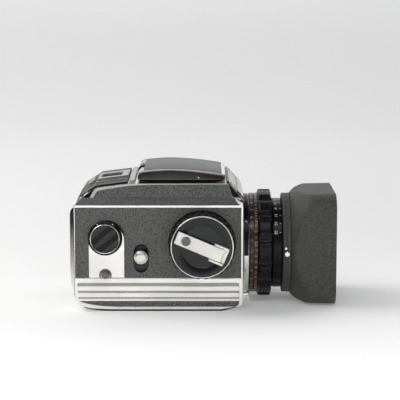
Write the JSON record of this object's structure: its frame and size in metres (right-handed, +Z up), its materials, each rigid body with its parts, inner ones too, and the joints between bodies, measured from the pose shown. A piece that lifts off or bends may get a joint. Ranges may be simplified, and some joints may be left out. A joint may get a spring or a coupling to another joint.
{
  "type": "medium format single lens reflex camera",
  "caption": "Box-shaped waist-level reflex film camera with leather sides, a side wind knob with folding crank, a focusing lens and a square hood.",
  "frame": {"origin": "middle of the base plate's flat underside, at half the body's width and depth", "axes": "+X forward along the lens, +Y to the viewer's left, +Z up"},
  "size_m": [0.1859, 0.1264, 0.0978],
  "materials": {
    "chrome": "bright to satin chrome plate",
    "satin_metal": "satin, brushed",
    "grey_paint": "satin grey enamel",
    "leather": "fine pebble grain",
    "black_paint": "semi-gloss black enamel",
    "hood_paint": "satin black crackle",
    "steel": "machined",
    "brass": "machined",
    "glass": "polished, coated",
    "mirror": "first-surface mirror"
  },
  "bodies": {
    "body": {"body_casting": "chrome", "right_side_plate": "black_paint", "left_side_plate": "black_paint", "right_leather": "leather", "left_leather": "leather", "finder_leather_right": "leather", "finder_leather_left": "leather", "film_knob_plate": "chrome", "strap_stud_right": "chrome", "strap_stud_left": "chrome", "base_plate": "chrome", "tripod_socket": "steel", "name_plate": "satin_metal", "rear_deck_plate": "grey_paint", "lens_mount_ring": "chrome", "depth_scale_ring": "black_paint", "helicoid_sleeve": "brass", "wind_knob_base": "chrome", "film_gate": "black_paint", "pressure_plate": "black_paint", "shutter_curtain": "black_paint", "focusing_screen": "glass", "screen_frame": "black_paint", "sync_socket": "chrome"},
    "focus": {"focus_ring": "black_paint"},
    "barrel": {"lens_barrel": "black_paint", "front_element": "glass", "middle_element": "glass", "rear_element": "glass", "iris_blades": "steel", "lens_hood": "hood_paint"},
    "aperture": {"aperture_ring": "black_paint"},
    "clamp_screw": {"hood_screw": "chrome"},
    "wind": {"wind_knob": "black_paint", "crank_bracket": "satin_metal", "crank_pin": "steel", "wind_gear": "steel"},
    "crank": {"wind_crank": "satin_metal"},
    "crank_finger": {"crank_finger_knob": "black_paint"},
    "idler_front": {"idler_gear_front": "brass"},
    "idler_rear": {"idler_gear_rear": "brass"},
    "takeup": {"takeup_gear": "steel", "takeup_spool": "black_paint", "film_knob": "black_paint"},
    "supply": {"supply_spool": "black_paint"},
    "spool_release": {"spool_button": "black_paint"},
    "release": {"shutter_release": "chrome"},
    "dial": {"speed_dial": "black_paint"},
    "door": {"rear_door": "chrome"},
    "latch": {"door_latch": "chrome"},
    "mirror": {"mirror_frame": "steel", "mirror_glass": "mirror"},
    "roller_top": {"top_roller": "steel"},
    "roller_bottom": {"bottom_roller": "steel"},
    "lid": {"finder_lid": "grey_paint"},
    "panel_right": {"finder_panel_right": "black_paint"},
    "panel_left": {"finder_panel_left": "black_paint"},
    "panel_rear": {"finder_panel_rear": "black_paint"},
    "magnifier": {"magnifier_arm": "black_paint", "magnifier_lens": "glass"}
  },
  "joints": [
    {"name": "focus_turn", "type": "hinge", "parent": "body", "child": "focus", "pos_m": [0.075, 0, 0.04], "axis": [1, 0, 0], "range_deg": [0, 240]},
    {"name": "barrel_slide", "type": "slide", "parent": "body", "child": "barrel", "axis": [1, 0, 0], "range_m": [0, 0.0088]},
    {"name": "aperture_turn", "type": "hinge", "parent": "barrel", "child": "aperture", "pos_m": [0.0846, 0, 0.04], "axis": [1, 0, 0], "range_deg": [0, 75]},
    {"name": "hood_screw_turn", "type": "hinge", "parent": "barrel", "child": "clamp_screw", "pos_m": [0.0912, -0.037, 0.0378], "axis": [0, -1, 0], "range_deg": [0, 360]},
    {"name": "wind_turn", "type": "hinge", "parent": "body", "child": "wind", "pos_m": [0.0315, -0.058, 0.0475], "axis": [0, -1, 0], "continuous": true},
    {"name": "crank_fold", "type": "hinge", "parent": "wind", "child": "crank", "pos_m": [0.04439, -0.066, 0.04203], "axis": [0.3907, 0, 0.9205], "range_deg": [0, 165]},
    {"name": "crank_finger_spin", "type": "hinge", "parent": "crank", "child": "crank_finger", "pos_m": [0.02045, -0.0625, 0.05219], "axis": [0, -1, 0], "continuous": true},
    {"name": "idler_front_turn", "type": "hinge", "parent": "body", "child": "idler_front", "pos_m": [0.00874, -0.043, 0.04886], "axis": [0, -1, 0], "continuous": true},
    {"name": "idler_rear_turn", "type": "hinge", "parent": "body", "child": "idler_rear", "pos_m": [-0.01282, -0.043, 0.05014], "axis": [0, -1, 0], "continuous": true},
    {"name": "takeup_turn", "type": "hinge", "parent": "body", "child": "takeup", "pos_m": [-0.0356, -0.043, 0.0515], "axis": [0, -1, 0], "continuous": true},
    {"name": "supply_turn", "type": "hinge", "parent": "body", "child": "supply", "pos_m": [-0.0356, 0, 0.0257], "axis": [0, -1, 0], "continuous": true},
    {"name": "spool_button_pull", "type": "slide", "parent": "body", "child": "spool_release", "axis": [0, -1, 0], "range_m": [0, 0.003], "stiffness_N_per_m": 300},
    {"name": "release_press", "type": "slide", "parent": "body", "child": "release", "axis": [-1, 0, 0], "range_m": [0, 0.0024], "stiffness_N_per_m": 400},
    {"name": "speed_dial_turn", "type": "hinge", "parent": "body", "child": "dial", "pos_m": [0.0315, 0.054, 0.0475], "axis": [0, 1, 0], "range_deg": [0, 300]},
    {"name": "door_swing", "type": "hinge", "parent": "body", "child": "door", "pos_m": [-0.0578, 0, 0.0096], "axis": [0, -1, 0], "range_deg": [0, 90]},
    {"name": "latch_slide", "type": "slide", "parent": "body", "child": "latch", "axis": [0, 1, 0], "range_m": [0, 0.004]},
    {"name": "mirror_drop", "type": "hinge", "parent": "body", "child": "mirror", "pos_m": [0.038, 0, 0.0223], "axis": [0, -1, 0], "range_deg": [0, 45], "stiffness_Nm_per_rad": 0.05, "springref_deg": -34.38},
    {"name": "top_roller_turn", "type": "hinge", "parent": "body", "child": "roller_top", "pos_m": [-0.029, 0, 0.0676], "axis": [0, -1, 0], "continuous": true},
    {"name": "bottom_roller_turn", "type": "hinge", "parent": "body", "child": "roller_bottom", "pos_m": [-0.029, 0, 0.0104], "axis": [0, -1, 0], "continuous": true},
    {"name": "lid_swing", "type": "hinge", "parent": "body", "child": "lid", "pos_m": [0.047, 0, 0.091], "axis": [0, 1, 0], "range_deg": [0, 90]},
    {"name": "panel_right_swing", "type": "hinge", "parent": "body", "child": "panel_right", "pos_m": [0.015, -0.0315, 0.0892], "axis": [1, 0, 0], "range_deg": [0, 90]},
    {"name": "panel_left_swing", "type": "hinge", "parent": "body", "child": "panel_left", "pos_m": [0.015, 0.0315, 0.0892], "axis": [-1, 0, 0], "range_deg": [0, 90]},
    {"name": "panel_rear_swing", "type": "hinge", "parent": "body", "child": "panel_rear", "pos_m": [-0.0109, 0, 0.0904], "axis": [0, -1, 0], "range_deg": [0, 90]},
    {"name": "magnifier_swing", "type": "hinge", "parent": "lid", "child": "magnifier", "pos_m": [0.017, 0, 0.0922], "axis": [0, -1, 0], "range_deg": [0, 90]}
  ],
  "couplings": [
    {"joint": "barrel_slide", "follows": "focus_turn", "m_per_rad": 0.0021},
    {"joint": "idler_front_turn", "follows": "wind_turn", "ratio": -1.1111},
    {"joint": "idler_rear_turn", "follows": "wind_turn", "ratio": 1.1111},
    {"joint": "takeup_turn", "follows": "wind_turn", "ratio": -1},
    {"joint": "panel_right_swing", "follows": "lid_swing", "ratio": 1},
    {"joint": "panel_left_swing", "follows": "lid_swing", "ratio": 1},
    {"joint": "panel_rear_swing", "follows": "lid_swing", "ratio": 1},
    {"joint": "magnifier_swing", "follows": "lid_swing", "ratio": 1}
  ]
}
